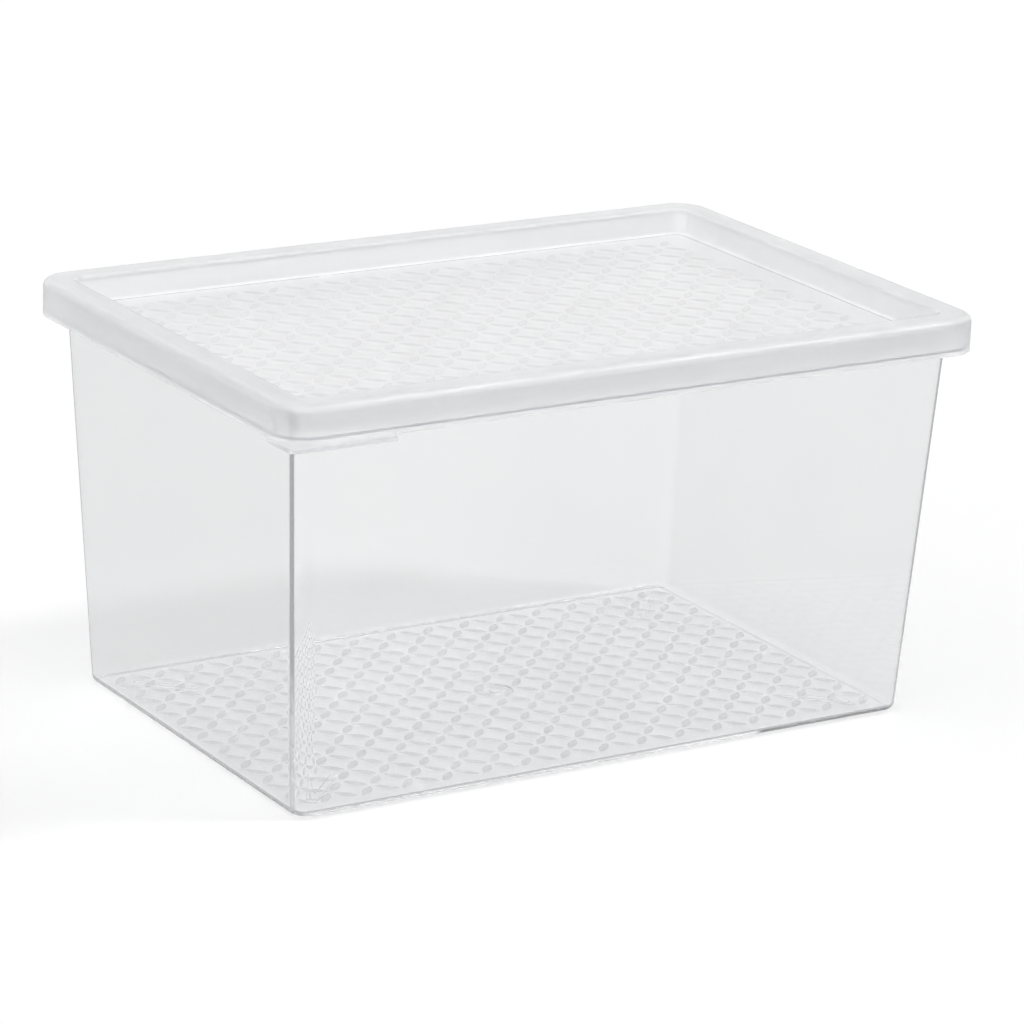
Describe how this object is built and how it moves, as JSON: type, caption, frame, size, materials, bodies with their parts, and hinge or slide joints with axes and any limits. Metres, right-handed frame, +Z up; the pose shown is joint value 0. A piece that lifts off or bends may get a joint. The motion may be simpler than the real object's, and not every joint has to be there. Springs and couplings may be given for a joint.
{
  "type": "fridge storage box with lid",
  "caption": "Clear moulded fridge storage box with drafted walls, a lipped rim and a bluish lift-off lid that has a recessed stacking panel and a corner lift tab",
  "frame": {"origin": "on the surface the box stands on, under the middle of its floor", "axes": "+X along the long side, to the right seen from the front; +Y from the front, where the lift tab is, to the back; +Z up"},
  "size_m": [0.302, 0.21, 0.161],
  "materials": {
    "clear_plastic": "clear, polished",
    "bluish_plastic": "translucent, satin"
  },
  "bodies": {
    "box": {"box_body": "clear_plastic"},
    "cover": {"lid": "bluish_plastic"}
  },
  "joints": [
    {"name": "lid_lift", "type": "slide", "parent": "box", "child": "cover", "axis": [0, 0, 1], "range_m": [0, 0.12]}
  ]
}
